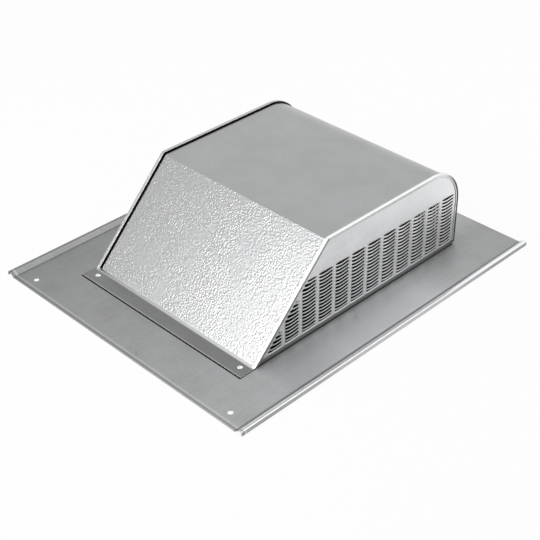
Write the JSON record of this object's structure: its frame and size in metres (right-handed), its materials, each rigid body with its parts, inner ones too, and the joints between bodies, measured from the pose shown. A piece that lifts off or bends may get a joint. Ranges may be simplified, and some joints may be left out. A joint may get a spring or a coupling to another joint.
{
  "type": "roof louver",
  "caption": "Slant-back roof louver: flat flashing with side ribs and a round throat, under a bent sheet hood with finely louvered sides and back.",
  "frame": {"origin": "middle of the flashing's underside, where the louver lies on the roof deck", "axes": "+X across the roof, +Y down the slope from the slanted face to the louvered back, +Z away from the roof"},
  "size_m": [0.381, 0.4572, 0.1095],
  "materials": {
    "flashing": "mill-finish sheet, faintly embossed",
    "hood": "mill-finish sheet, stucco embossed",
    "louver_panel": "plain mill-finish sheet",
    "rivet": "bright"
  },
  "bodies": {
    "root": {"base_flashing": "flashing", "hood_shell": "hood", "right_louver_panel": "louver_panel", "left_louver_panel": "louver_panel", "rear_louver_panel": "louver_panel", "front_flange_rivets": "rivet", "right_panel_rivets": "rivet", "left_panel_rivets": "rivet", "rear_panel_rivets": "rivet"}
  },
  "joints": []
}
